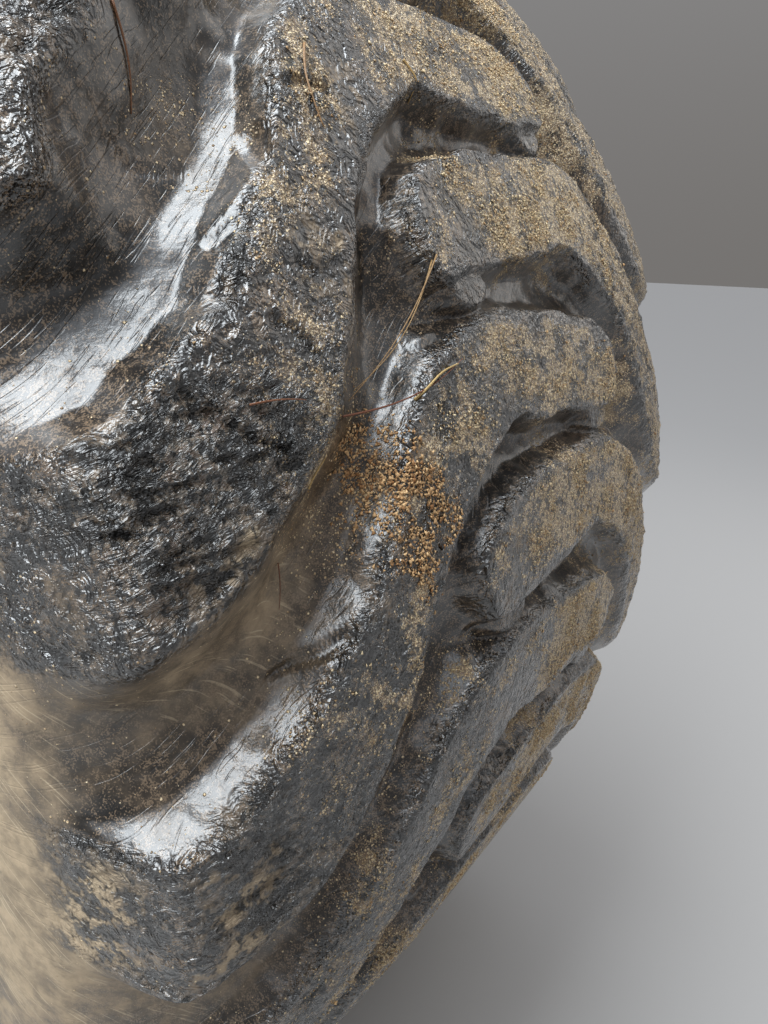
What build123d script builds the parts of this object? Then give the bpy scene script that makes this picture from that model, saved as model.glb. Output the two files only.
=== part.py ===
"""Forestry forwarder wheel: a lugged flotation tyre on a drop-centre rim, bolted through
its disc to a hub reduction, which turns on a flanged spindle.

Millimetres. The wheel axis is Y, Z is up, and the wheel's outer face looks along -Y.
The origin is the centre of the spindle's mounting face, and the wheel's middle plane
lies wheel_offset outboard of it.
"""

import os
from math import cos, pi, radians, sin, tan

from build123d import *

os.makedirs("parts", exist_ok=True)

# Tyre
tyre_diameter = 1340.0  # over the lug tips
section_width = 712.0  # widest, across the side walls
rim_diameter = 673.1  # at the heel of the bead seat
rim_width = 609.6  # between the rim flanges
lug_count = 20  # on each side of the tread, the two sides half a pitch apart
lug_start = -0.68  # degrees round from +X towards +Z, where the first outboard lug's turn is 0
lug_depth = 34.0  # lug tip to valley floor, on the middle plane
lug_root = 20.0  # foot of a lug, sunk past the valley floor
lug_root_spread = 10.0  # and this much more at the shoulder
tread_width = 688.0  # across the lug ends
crown_drop = 39.0  # lug tip at the shoulder, below the one in the middle
crown_level = 0.37  # share of half the tread that is level across
crown_power = 1.6
belt_inset = 14.0  # valley floor's edge, in from the lug ends
belt_drop = 100.0  # that edge, below the lug tip in the middle
belt_edge = 12.0  # height of the floor's edge face
wall_gauge = 24.0  # casing at the side wall
tread_gauge = 30.0  # casing under the valley floor
tread_hollow = 69.0  # valley floor in the middle to the roof of the hollow
bead_width = 46.0
bead_gap = 0.3  # tyre to rim, over the bead

# Rim and disc
rim_gauge = 12.0
rim_draft = 0.5  # rolled rise of each wall on the hub side, over its width
seat_taper = 15.0  # degrees
flange_height = 27.0
lip_width = 30.0  # how far a flange's lip turns outward, past the bead's face
lip_gauge = 9.0
seat_step = 12.0  # axial run from a bead seat down to its ledge
ledge_drop = 17.0  # ledge beside the bead seat, below the heel
well_diameter = 573.1  # bottom of the drop centre, on the tyre's side
well_width = 200.0
well_slope = 34.0  # axial run of each side of the well
hoop_gauge = 14.0  # reinforcing hoop in the crook of each flange, across
weld_gap = 0.3  # between pieces that weld beads join
disc_gauge = 20.0
disc_dish = 26.0  # the disc's rim lies this far outboard of its hub face
disc_slope = 20.25  # radial run of the dished edge, outside the disc's flat

# Hub reduction and spindle
wheel_offset = 400.0  # wheel's middle plane, outboard of the spindle's face
disc_offset = 62.0  # hub face of the disc, inboard of the middle plane
spindle_flange_radius = 200.0
spindle_flange_gauge = 28.0
spindle_bolt_circle_diameter = 350.0
spindle_bolt_count = 16
spindle_bolt_radius = 11.0  # of each hole
pilot_radius = 130.0  # recess that centres the spindle
pilot_depth = 12.0
journal_radius = 100.0
journal_length = 250.0
shaft_bore_radius = 45.0
running_gap = 0.05
hub_gap = 6.0  # hub barrel to spindle flange
barrel_radius = 150.0
seal_land_radius = 134.0  # hub's end, beside the spindle flange
seal_land_length = 34.0
hub_flange_radius = 242.0
hub_flange_gauge = 30.0
rib_gauge = 16.0
rib_length = 74.0
rib_height = 36.0
hub_pilot_radius = 185.2
hub_pilot_gap = 0.3
hub_pilot_length = 34.0
drum_radius = 176.0  # planet housing
drum_length = 128.0  # from the disc's hub face
drum_wall = 22.0
cover_radius = 168.0
cover_flange = 16.0
cover_dome_radius = 128.0
cover_dome_height = 34.0
cover_dome_slope = 26.0
cover_bolt_circle_diameter = 306.0
cover_bolt_count = 12
cover_bolt_flats = 19.0
cover_bolt_head = 9.0
plug_circle_diameter = 150.0
plug_count = 2
plug_flats = 30.0
plug_head = 9.0

# Wheel studs and nuts
wheel_bolt_circle_diameter = 425.0
wheel_bolt_count = 12
stud_radius = 11.0
stud_gap = 0.1
stud_head_radius = 17.0
stud_head = 9.0
stud_stand = 44.0  # stud beyond the disc
disc_hole_gap = 1.5
nut_flats = 33.0
nut_height = 28.0
nut_collar_radius = 22.5
nut_collar = 5.0

# Valve
valve_angle = 74.0  # degrees round from +X towards +Z
valve_place = 188.0  # outboard of the middle plane
valve_stem_radius = 8.0
valve_stem_length = 38.0  # inside the rim
valve_base_radius = 14.0
valve_base_height = 7.0
valve_seat_gap = 0.7  # flat base to round rim
valve_cap_radius = 10.5
valve_cap_length = 18.0
valve_cap_cover = 11.0  # length of stem inside the cap
valve_cap_gap = 0.1
guard_gauge = 6.0
guard_width = 56.0
guard_length = 80.0
guard_height = 56.0

# Worked out from the sizes above
tip_radius = tyre_diameter / 2
heel_radius = rim_diameter / 2
half_tread = tread_width / 2
half_section = section_width / 2
half_rim = rim_width / 2
pitch = 360 / lug_count
facets = 2 * lug_count
middle = -wheel_offset
side_height = tip_radius - heel_radius
belt_half = half_tread - belt_inset
belt_radius = tip_radius - belt_drop
floor_radius = tip_radius - lug_depth
flange_radius = heel_radius + flange_height
ledge_radius = heel_radius - ledge_drop
well_radius = well_diameter / 2
seat_run = bead_width * tan(radians(seat_taper))
flange_face = -spindle_flange_gauge
hub_end = flange_face - hub_gap
disc_face = middle + disc_offset
disc_front = disc_face - disc_gauge
hub_flange_back = disc_face + hub_flange_gauge
drum_end = disc_face - drum_length
cover_front = drum_end - cover_flange
dome_front = cover_front - cover_dome_height


def outline(*points):
    """A closed outline in the YZ plane, from (place along the wheel axis, radius) points."""
    with BuildSketch(Plane.YZ) as drawn:
        with BuildLine():
            Polyline(*points, close=True)
        make_face()
    return drawn.sketch


def both_sides(inboard_half):
    """A whole section from its inboard half, given as (place from the middle plane, radius)."""
    outboard_half = [(-y, radius) for y, radius in reversed(inboard_half) if y > 0]
    return [(middle + y, radius) for y, radius in inboard_half + outboard_half]


def facing_out(place):
    """A plane square to the wheel axis that looks outboard, its x along X and its y along Z."""
    return Plane(origin=(0, place, 0), x_dir=(1, 0, 0), z_dir=(0, -1, 0))


def turns(count, start=0.0):
    """Locations for count pieces spread evenly round the wheel axis, the first at start degrees."""
    return [Location((0, 0, 0), (0, -1, 0), start + index * 360 / count) for index in range(count)]


def save(piece, name):
    piece.part.label = name
    export_step(piece.part, f"parts/{name}.step")


# Tyre casing: beads and side walls, up to just under the valley floors, and its hollow
# columns: place from the middle plane, radius
casing_outside = [
    (half_rim - bead_gap, heel_radius + bead_gap),
    (half_rim - bead_gap, flange_radius + bead_gap),
    (half_rim + lip_width, flange_radius + rim_gauge),
    (half_section, heel_radius + 0.48 * side_height),
    (belt_half, belt_radius - belt_edge / 2),
    (half_tread / 2, floor_radius - crown_drop / 6 - tread_gauge / 2),
    (0.0, floor_radius - tread_gauge / 2),
]
casing_inside = [
    (half_rim - bead_width, heel_radius - seat_run + bead_gap),
    (half_section - wall_gauge, heel_radius + 0.45 * side_height),
    (0.8 * half_tread, floor_radius - tread_hollow),
]
with BuildPart() as casing:
    revolve(outline(*both_sides(casing_outside), *reversed(both_sides(casing_inside))), axis=Axis.Y)
with BuildPart() as hollow:
    revolve(outline(*both_sides(casing_inside)), axis=Axis.Y)

# One flat facet of the valley floors, two to a lug pitch
# columns: place from the middle plane, radius
floor_top = [
    (belt_half - tread_gauge, belt_radius - belt_edge),
    (belt_half, belt_radius - belt_edge),
    (belt_half, belt_radius),
    (0.66 * half_tread, floor_radius - crown_drop / 3),
    (0.0, floor_radius),
]
floor_under = [
    (half_tread / 2, floor_radius - crown_drop / 6 - 0.8 * tread_gauge),
    (0.0, floor_radius - 0.8 * tread_gauge),
]
half_facet = tip_radius * tan(pi / facets)
with BuildPart() as floor_facet:
    with BuildSketch(facing_out(middle)):
        with BuildLine():
            Polyline((0, 0), (tip_radius, -half_facet), (tip_radius, half_facet), close=True)
        make_face()
    extrude(amount=half_section, both=True)
    with BuildSketch(Plane.XY) as floor_section:
        with BuildLine():
            section = both_sides(floor_top) + both_sides(floor_under)[::-1]
            Polyline(*[(radius, y) for y, radius in section], close=True)
        make_face()
    extrude(floor_section.sketch, amount=half_facet, both=True, mode=Mode.INTERSECT)

# A lug, hooked like a bent finger: its sections from its end at the shoulder to its nose past
# the middle plane, and the tip of the nose
# columns: upper flank's place as a share of half the tread, its turn in pitches, and the lower
# flank's place and turn
lug_sections = [
    (-0.985, 0.02, -0.985, -0.43),
    (-0.83, 0.16, -0.77, -0.38),
    (-0.64, 0.55, -0.56, 0.00),
    (-0.45, 0.98, -0.42, 0.14),
    (-0.25, 1.20, -0.25, 0.66),
    (0.28, 1.04, 0.32, 0.69),
]
lug_tip = (0.37, 0.88)
lug_middle = 0.4  # turn at which a lug's flanks stand square


def on_tread(side, share, turn):
    """A point of the lug tops, where side is -1 for the outboard lugs and 1 for the inboard."""
    past_level = max(0, abs(share) - crown_level) / (1 - crown_level)
    radius = tip_radius - crown_drop * past_level**crown_power
    angle = radians(turn * pitch)
    return Vector(radius * cos(angle), middle - side * share * half_tread, radius * sin(angle))


def lug(side):
    """A lug from flat faces: its top, its flanks and its foot inside the casing."""
    shares = [row[0] for row in lug_sections] + [lug_tip[0]] + [row[2] for row in lug_sections[::-1]]
    turned = [row[1] for row in lug_sections] + [lug_tip[1]] + [row[3] for row in lug_sections[::-1]]
    square = radians(lug_middle * pitch)
    inward = Vector(-cos(square), 0, -sin(square))
    top = [on_tread(side, share, turn) for share, turn in zip(shares, turned)]
    foot = [
        point + inward * (lug_depth + lug_root + lug_root_spread * share**2)
        for point, share in zip(top, shares)
    ]
    last = len(top) - 1
    tip = len(lug_sections)
    faces = [(top[i - 1], top[i], foot[i], foot[i - 1]) for i in range(len(top))]
    for ring in (top, foot):
        for i in range(tip - 1):
            faces.append((ring[i], ring[i + 1], ring[last - 1 - i]))
            faces.append((ring[i], ring[last - 1 - i], ring[last - i]))
        faces.append((ring[tip - 1], ring[tip], ring[tip + 1]))
    return Solid(Shell([Face(Wire.make_polygon(corners, close=True)) for corners in faces]))


with BuildPart() as outboard_lug:
    add(lug(-1))
with BuildPart() as inboard_lug:
    add(lug(1))

with BuildPart() as tyre:
    add(casing.part)
    with Locations(*turns(facets, lug_start + pitch / 4)):
        add(floor_facet.part)
    with Locations(*turns(lug_count, lug_start)):
        add(outboard_lug.part)
    with Locations(*turns(lug_count, lug_start + pitch / 2)):
        add(inboard_lug.part)
    add(hollow.part, mode=Mode.SUBTRACT)
save(tyre, "tyre")

# Rim: flanges, tapered bead seats, ledges and drop centre
# columns: place from the middle plane, radius
rim_tyre_side = [
    (half_rim + lip_width, flange_radius),
    (half_rim, flange_radius),
    (half_rim, heel_radius),
    (half_rim - bead_width, heel_radius - seat_run),
    (half_rim - bead_width - seat_step, ledge_radius),
    (well_width / 2 + well_slope, ledge_radius),
    (well_width / 2, well_radius),
]
rim_hub_side = [
    (half_rim + lip_width, flange_radius - lip_gauge),
    (half_rim + rim_gauge, flange_radius - lip_gauge + rim_draft),
    (half_rim + rim_gauge, heel_radius - rim_gauge),
    (half_rim - bead_width, heel_radius - seat_run - rim_gauge),
    (half_rim - bead_width - seat_step, ledge_radius - rim_gauge + rim_draft),
    (well_width / 2 + well_slope, ledge_radius - rim_gauge),
    (well_width / 2, well_radius - rim_gauge),
    (0.0, well_radius - rim_gauge + rim_draft),
]
valve_turn = radians(valve_angle)
valve_seat = Plane(
    origin=(
        (ledge_radius - rim_gauge) * cos(valve_turn),
        middle - valve_place,
        (ledge_radius - rim_gauge) * sin(valve_turn),
    ),
    x_dir=(0, -1, 0),
    z_dir=(-cos(valve_turn), 0, -sin(valve_turn)),
)
with BuildPart() as rim_barrel:
    revolve(outline(*both_sides(rim_tyre_side), *reversed(both_sides(rim_hub_side))), axis=Axis.Y)
    with BuildSketch(valve_seat):
        Circle(valve_stem_radius + valve_cap_gap)
    extrude(amount=2 * rim_gauge, both=True, mode=Mode.SUBTRACT)
save(rim_barrel, "rim_barrel")

# Reinforcing hoops in the crook behind each flange's lip
hoop_place = half_rim + rim_gauge + weld_gap + hoop_gauge / 2
hoop_radius = flange_radius - lip_gauge - weld_gap - hoop_gauge / 2
for side, name in ((-1, "rim_hoop_outer"), (1, "rim_hoop_inner")):
    with BuildPart() as hoop:
        with BuildSketch(Plane.YZ):
            with Locations((middle + side * hoop_place, hoop_radius)):
                Circle(hoop_gauge / 2)
        revolve(axis=Axis.Y)
    save(hoop, name)

# Disc, welded inside the drop centre
disc_hole_radius = hub_pilot_radius + hub_pilot_gap
disc_rim = well_radius - rim_gauge - weld_gap
disc_flat = disc_rim - disc_slope
with BuildPart() as wheel_disc:
    revolve(
        outline(
            (disc_face, disc_hole_radius),
            (disc_face, disc_flat),
            (disc_face - disc_dish, disc_rim),
            (disc_front - disc_dish, disc_rim),
            (disc_front, disc_flat - 0.4 * disc_gauge),
            (disc_front, disc_hole_radius),
        ),
        axis=Axis.Y,
    )
    with BuildSketch(facing_out(disc_face)):
        with PolarLocations(wheel_bolt_circle_diameter / 2, wheel_bolt_count):
            Circle(stud_radius + disc_hole_gap)
    extrude(amount=disc_gauge, mode=Mode.SUBTRACT)
save(wheel_disc, "wheel_disc")

# Studs, with their heads behind the hub flange
with BuildPart() as wheel_studs:
    with BuildSketch(facing_out(hub_flange_back + stud_head)):
        with PolarLocations(wheel_bolt_circle_diameter / 2, wheel_bolt_count):
            Circle(stud_head_radius)
    extrude(amount=stud_head)
    with BuildSketch(facing_out(hub_flange_back)):
        with PolarLocations(wheel_bolt_circle_diameter / 2, wheel_bolt_count):
            Circle(stud_radius)
    extrude(amount=hub_flange_gauge + disc_gauge + stud_stand)
save(wheel_studs, "wheel_studs")

# Nuts, each with a round collar against the disc
with BuildPart() as wheel_nuts:
    with BuildSketch(facing_out(disc_front)):
        with PolarLocations(wheel_bolt_circle_diameter / 2, wheel_bolt_count):
            Circle(nut_collar_radius)
            Circle(stud_radius + stud_gap, mode=Mode.SUBTRACT)
    extrude(amount=nut_collar)
    with BuildSketch(facing_out(disc_front - nut_collar)):
        with PolarLocations(wheel_bolt_circle_diameter / 2, wheel_bolt_count):
            RegularPolygon(nut_flats / 2, 6, major_radius=False)
            Circle(stud_radius + stud_gap, mode=Mode.SUBTRACT)
    extrude(amount=nut_height - nut_collar)
save(wheel_nuts, "wheel_nuts")

# Spindle: bolted flange with a centring recess, and the hollow journal that the hub turns on
with BuildPart() as spindle:
    revolve(
        outline(
            (0, pilot_radius),
            (0, spindle_flange_radius),
            (flange_face, spindle_flange_radius),
            (flange_face, journal_radius),
            (flange_face - journal_length, journal_radius),
            (flange_face - journal_length, shaft_bore_radius),
            (-pilot_depth, shaft_bore_radius),
            (-pilot_depth, pilot_radius),
        ),
        axis=Axis.Y,
    )
    with BuildSketch(facing_out(0)):
        with PolarLocations(spindle_bolt_circle_diameter / 2, spindle_bolt_count):
            Circle(spindle_bolt_radius)
    extrude(amount=spindle_flange_gauge, mode=Mode.SUBTRACT)
save(spindle, "spindle")

# Hub: barrel on the journal, ribbed flange for the disc, and planet housing
hub_bore = journal_radius + running_gap
housing_bore = drum_radius - drum_wall
with BuildPart() as hub_rib:
    with BuildSketch(Plane.YZ):
        with BuildLine():
            Polyline(
                (disc_face, barrel_radius - rib_gauge / 2),
                (disc_face, barrel_radius + rib_height),
                (hub_flange_back, barrel_radius + rib_height),
                (hub_flange_back + rib_length, barrel_radius - rib_gauge / 2),
                close=True,
            )
        make_face()
    extrude(amount=rib_gauge / 2, both=True)
with BuildPart() as hub_drum:
    revolve(
        outline(
            (hub_end, hub_bore),
            (hub_end, seal_land_radius),
            (hub_end - seal_land_length, seal_land_radius),
            (hub_end - seal_land_length - (barrel_radius - seal_land_radius), barrel_radius),
            (hub_flange_back, barrel_radius),
            (hub_flange_back, hub_flange_radius),
            (disc_face, hub_flange_radius),
            (disc_face, hub_pilot_radius),
            (disc_face - hub_pilot_length, hub_pilot_radius),
            (disc_face - hub_pilot_length, drum_radius),
            (drum_end, drum_radius),
            (drum_end, housing_bore),
            (disc_face, housing_bore),
            (disc_face, hub_bore),
        ),
        axis=Axis.Y,
    )
    with Locations(*turns(wheel_bolt_count, 180 / wheel_bolt_count)):
        add(hub_rib.part)
    with BuildSketch(facing_out(hub_flange_back)):
        with PolarLocations(wheel_bolt_circle_diameter / 2, wheel_bolt_count):
            Circle(stud_radius + stud_gap)
    extrude(amount=hub_flange_gauge, mode=Mode.SUBTRACT)
save(hub_drum, "hub_drum")

# Hub end cover, with its bolts and oil plugs
with BuildPart() as hub_cover:
    revolve(
        outline(
            (drum_end, 0),
            (drum_end, cover_radius),
            (cover_front, cover_radius),
            (cover_front, cover_dome_radius),
            (dome_front, cover_dome_radius - cover_dome_slope),
            (dome_front, 0),
        ),
        axis=Axis.Y,
    )
save(hub_cover, "hub_cover")

for name, place, circle, count, flats, head in (
    (
        "hub_cover_bolts",
        cover_front,
        cover_bolt_circle_diameter,
        cover_bolt_count,
        cover_bolt_flats,
        cover_bolt_head,
    ),
    ("hub_plugs", dome_front, plug_circle_diameter, plug_count, plug_flats, plug_head),
):
    with BuildPart() as heads:
        with BuildSketch(facing_out(place)):
            with PolarLocations(circle / 2, count):
                RegularPolygon(flats / 2, 6, major_radius=False)
        extrude(amount=head)
    save(heads, name)

# Valve: base and stem through the rim's outboard ledge, its cap, and the guard over it
with BuildPart() as valve_stem:
    with BuildSketch(valve_seat.offset(valve_seat_gap)):
        Circle(valve_base_radius)
    extrude(amount=valve_base_height)
    with BuildSketch(valve_seat.offset(-rim_gauge - valve_base_height)):
        Circle(valve_stem_radius)
    extrude(amount=rim_gauge + valve_base_height + valve_stem_length)
save(valve_stem, "valve_stem")

with BuildPart() as valve_cap:
    with BuildSketch(valve_seat.offset(valve_stem_length - valve_cap_cover)):
        Circle(valve_cap_radius)
    extrude(amount=valve_cap_length)
    with BuildSketch(valve_seat.offset(valve_stem_length - valve_cap_cover)):
        Circle(valve_stem_radius + valve_cap_gap)
    extrude(amount=valve_cap_cover + valve_cap_gap, mode=Mode.SUBTRACT)
save(valve_cap, "valve_cap")

with BuildPart() as valve_guard:
    with BuildSketch(valve_seat.offset(-rim_gauge)):
        Rectangle(guard_length, guard_width)
        Rectangle(guard_length, guard_width - 2 * guard_gauge, mode=Mode.SUBTRACT)
    extrude(amount=rim_gauge + guard_height)
    with BuildSketch(valve_seat.offset(guard_height - guard_gauge)):
        Rectangle(guard_length, guard_width)
    extrude(amount=guard_gauge)
    with BuildSketch(facing_out(middle)):
        Circle(ledge_radius - rim_gauge - weld_gap)
    extrude(amount=half_rim, mode=Mode.INTERSECT)
save(valve_guard, "valve_guard")
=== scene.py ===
"""Looks of the forestry forwarder wheel: a worn, wet tyre with mud and sawdust on it, and
chipped, muddy paint on its rim, disc and hub. Sizes are in millimetres until a mesh is made,
in the part's frame: the wheel's axis is Y, Z is up, and the outboard side looks along -Y.
A place is counted along the axis from the wheel's middle plane, with outboard negative.
"""

import bpy
import numpy as np
from mathutils import Matrix, Vector


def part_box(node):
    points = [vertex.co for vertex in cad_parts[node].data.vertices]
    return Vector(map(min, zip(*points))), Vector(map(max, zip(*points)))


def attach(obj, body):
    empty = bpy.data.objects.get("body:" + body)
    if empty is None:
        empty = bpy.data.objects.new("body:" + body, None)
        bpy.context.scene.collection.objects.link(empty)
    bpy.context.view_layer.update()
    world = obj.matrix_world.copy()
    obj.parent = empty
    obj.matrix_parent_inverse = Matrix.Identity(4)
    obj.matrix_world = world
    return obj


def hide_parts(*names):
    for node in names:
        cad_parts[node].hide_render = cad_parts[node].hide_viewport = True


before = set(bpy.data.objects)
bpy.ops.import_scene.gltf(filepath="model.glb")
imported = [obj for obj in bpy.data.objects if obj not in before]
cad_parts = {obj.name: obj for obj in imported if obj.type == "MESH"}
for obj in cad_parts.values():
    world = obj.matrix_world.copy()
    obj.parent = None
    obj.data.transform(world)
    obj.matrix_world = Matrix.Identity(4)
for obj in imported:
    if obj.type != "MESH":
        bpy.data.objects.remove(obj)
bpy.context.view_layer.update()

# The wheel, read from the frame
metre = 1000.0
tyre_low, tyre_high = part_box("tyre")
middle = metre * (tyre_low.y + tyre_high.y) / 2
tip_radius = metre * (tyre_high.z - tyre_low.z) / 2
floor_height = -tip_radius

# Lugs: a turn is counted in pitches round the wheel from the first outboard lug
lug_count = 20
pitch = 360 / lug_count
lug_start = -0.68  # degrees round from +X towards +Z
usual_radius = 650  # of the tread, where lengths round it are measured
pitch_length = 2 * np.pi * usual_radius / lug_count
lug_foot, lug_nose = -430, 175  # places between which an outboard lug raises the skin
edge_round = 6.0  # worn edge of a lug, inside its outline
foot_run = 16.0  # hollow foot of a steep flank, past its width
widest_steep = 28  # a flank no wider than this is steep, with a knee in it
broad_change = 12  # over this much more width it turns into a broad round slope
knee = 0.66  # share of a steep flank's width, from its foot, below the knee
knee_rise = 0.48  # share of the height that is added above the knee
tip_clearance = 1.5  # worn tops, inside the CAD tyre's radius
lug_warp, warp_size = 5, 90  # how far the lugs' outlines wander, and over what length
edge_warp, edge_size = 2.5, 20  # the same for the widths of their flanks

# Tyre mesh
fine_step, coarse_step = 2.2, 5.0  # rows along the section, outboard and inboard
fine_columns, coarse_columns = 520, 480
first_seen, last_seen = -2.0, 2.1  # turns between which the photograph shows the tyre
wall_row = 9.5  # row of section_table where the tread ends
wall_place = 336  # side wall, past this place

# Loose wood on the tread
grain_count, grain_sizes = 30000, (0.7, 2.9)  # sawdust, and its smallest and largest size
crumb_count, crumb_sizes = 2600, (1.4, 4.2)

# Weld between disc and rim
weld_radius = 273.5
weld_width = 5.5
weld_outer_y, weld_inner_y = -384.0, -364.0

# The camera, solved from the photograph
camera_place = (858.1, -896.05, 273.0)
camera_azimuth = 35.59  # degrees
camera_down = 20.8
camera_roll = -0.22
camera_focal = 772.74  # pixels, in a frame of 768 x 1024
frame_height = 1024

# Area lamps
# columns: name, place and target in metres, size in metres, watts, tint
lamp_table = [
    ("overhead", (0.22, -1.38, 1.88), (0.30, -0.58, 0.0), (1.3, 2.3), 72.0, (0.90, 0.96, 1.0)),
    ("back", (1.3, 1.25, 1.2), (0.5, -0.3, 0.2), (2.2, 2.2), 11.0, (1.0, 0.97, 0.93)),
]

# Half of the tyre's section, from the middle plane to the bead
# columns: lug tops' place and radius, valley floor's place and radius
section_table = [
    (0, 670.0, 0, 637.0),
    (90, 669.0, 90, 636.0),
    (170, 663.5, 168, 630.0),
    (235, 654.0, 230, 619.0),
    (285, 643.5, 276, 606.0),
    (316, 635.0, 305, 594.0),
    (331, 626.0, 322, 583.0),
    (338.5, 608.0, 334, 571.0),
    (343, 585.0, 343, 558.0),
    (349, 553.0, 350, 545.0),
    (354.5, 522.0, 354.5, 521.0),
    (355.5, 500.0, 355.5, 500.0),
    (354, 470.0, 354, 470.0),
    (349.5, 442.0, 349.5, 442.0),
    (347.5, 425.0, 347.5, 425.0),
    (345, 412.0, 345, 412.0),
    (338, 392.0, 338, 392.0),
    (328, 377.0, 328, 377.0),
    (305.5, 365.0, 305.5, 365.0),
]

# An outboard lug's top edge, from its end past the shoulder round its nose and back
# columns: place from the middle plane, turn, width of the flank outside the edge
lug_outline = [
    (-430, 0.02, 28),
    (-340, 0.02, 28),
    (-305, 0.11, 28),
    (-278, 0.20, 28),
    (-252, 0.33, 27),
    (-222, 0.52, 26),
    (-192, 0.73, 24),
    (-162, 0.91, 22),
    (-128, 1.04, 20),
    (-90, 1.10, 18),
    (-49, 1.12, 16),
    (20, 1.10, 16),
    (75, 1.06, 16),
    (106, 1.00, 16),
    (121, 0.89, 14),
    (116, 0.75, 13),
    (98, 0.69, 13),
    (30, 0.71, 12),
    (-30, 0.74, 12),
    (-61, 0.76, 12),
    (-85, 0.72, 13),
    (-108, 0.66, 15),
    (-128, 0.58, 20),
    (-146, 0.48, 27),
    (-163, 0.38, 34),
    (-181, 0.24, 42),
    (-202, 0.03, 48),
    (-226, -0.14, 52),
    (-253, -0.26, 52),
    (-283, -0.36, 50),
    (-320, -0.45, 46),
    (-345, -0.47, 42),
    (-430, -0.47, 42),
]

# How the skin's columns of points lean with the lugs
# columns: place from the middle plane, turn
lean_table = [
    (0, 0.92),
    (60, 0.92),
    (110, 0.82),
    (150, 0.6),
    (200, 0.36),
    (260, 0.02),
    (310, -0.14),
    (360, -0.2),
]

# Where a lug is narrower than the others
# columns: place from the middle plane, turn, radius of the spot, push outward
swell_table = [
    (-215, 0.62, 60, -9),
    (-262, 1.82, 85, -32),
]

# Splits and smears: what each one is, its depth or strength, half its width, and its line as
# places and turns
stroke_table = [
    (
        "mud",
        0.34,
        3.2,
        [(-180, 1.56), (-180, 1.43), (-187, 1.21), (-199, 1.05), (-217, 0.92), (-229, 0.83)],
    ),
    ("split", 3.2, 1.7, [(-289, 1.08), (-274, 1.00), (-263, 0.945), (-248, 0.905)]),
    ("split", 3.5, 2.4, [(-246, 1.38), (-229, 1.445), (-214, 1.496), (-200, 1.64)]),
    ("split", 3.5, 1.8, [(-264, 0.335), (-247, 0.373), (-229, 0.412)]),
    ("split", 3.0, 3.0, [(-177, 1.73), (-165, 1.735), (-151, 1.715)]),
    ("split", 0.9, 0.9, [(-265, 1.68), (-260, 1.62), (-244, 1.60), (-229, 1.605)]),
    ("split", 2.0, 1.5, [(-214, 1.30), (-203, 1.27), (-190, 1.29)]),
    ("split", 2.2, 1.6, [(-238, 1.19), (-226, 1.15), (-219, 1.09)]),
]

# Rubber torn into flakes, or whole where it would be torn
# columns: place, turn, radius of the patch, change
torn_patches = [
    (-318, 0.92, 45, 0.8),
    (-270, 0.90, 55, 0.9),
    (-300, 0.70, 50, 0.9),
    (-245, 0.86, 40, 0.5),
    (-300, -0.1, 60, 0.45),
    (-250, 1.4, 80, -0.4),
]

# Mud that lies thicker or thinner than elsewhere
# columns: place, turn, radius of the patch, change
mud_patches = [
    (-290, 0.52, 75, 0.32),
    (-285, -0.12, 75, 0.22),
    (-300, 1.25, 120, -0.25),
    (-345, 0.75, 60, -0.25),
    (-352, 0.35, 70, 0.1),
    (-353, -0.6, 140, 0.15),
]

# The heap of wood crumbs
# columns: place, turn, radius of the patch, strength
crumb_patches = [
    (-184, 0.79, 34, 1),
    (-174, 0.64, 44, 1),
    (-160, 0.5, 34, 0.6),
]

# Bars that join the lugs across a valley
# columns: place, turn, half length along the axis, half length round the tread, height
bar_table = [
    (-116, 1.05, 16, 12, 0.62),
    (-78, 1.18, 26, 16, 0.85),
]


def catmull(points, places):
    """A smooth curve through points, at places that count them from 0."""
    points = np.asarray(points, float)
    padded = np.vstack([2 * points[0] - points[1], points, 2 * points[-1] - points[-2]])
    index = np.clip(places.astype(int), 0, len(points) - 2)
    share = (places - index)[:, None]
    a, b, c, d = (padded[index + k] for k in range(4))
    bend = 2 * a - 5 * b + 4 * c - d
    twist = 3 * b - a - 3 * c + d
    return 0.5 * (2 * b + (c - a) * share + bend * share**2 + twist * share**3)


def smooth(value):
    """0 up to 0, 1 from 1 on, and an S-curve between."""
    value = np.clip(value, 0, 1)
    return value * value * (3 - 2 * value)


def mix(share, first, second):
    return first + (second - first) * share


lattice_size = 64
lattice = np.random.default_rng(11).uniform(-1, 1, (lattice_size,) * 3)


def cloud(points, size, octaves=1, seed=0, gain=0.5):
    """Noise in about -1..1 at points, with lumps about size mm across."""
    total = np.zeros(points.shape[:-1])
    strength = 1.0
    for octave in range(octaves):
        scaled = points / size * 2**octave + 17.3 * (seed + 3 * octave)
        corner = np.floor(scaled).astype(int)
        share = smooth(scaled - corner)
        for step in np.ndindex(2, 2, 2):
            weight = np.prod(np.where(step, share, 1 - share), axis=-1)
            i, j, k = np.moveaxis((corner + step) % lattice_size, -1, 0)
            total += strength * weight * lattice[i, j, k]
        strength *= gain
    return total


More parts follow.
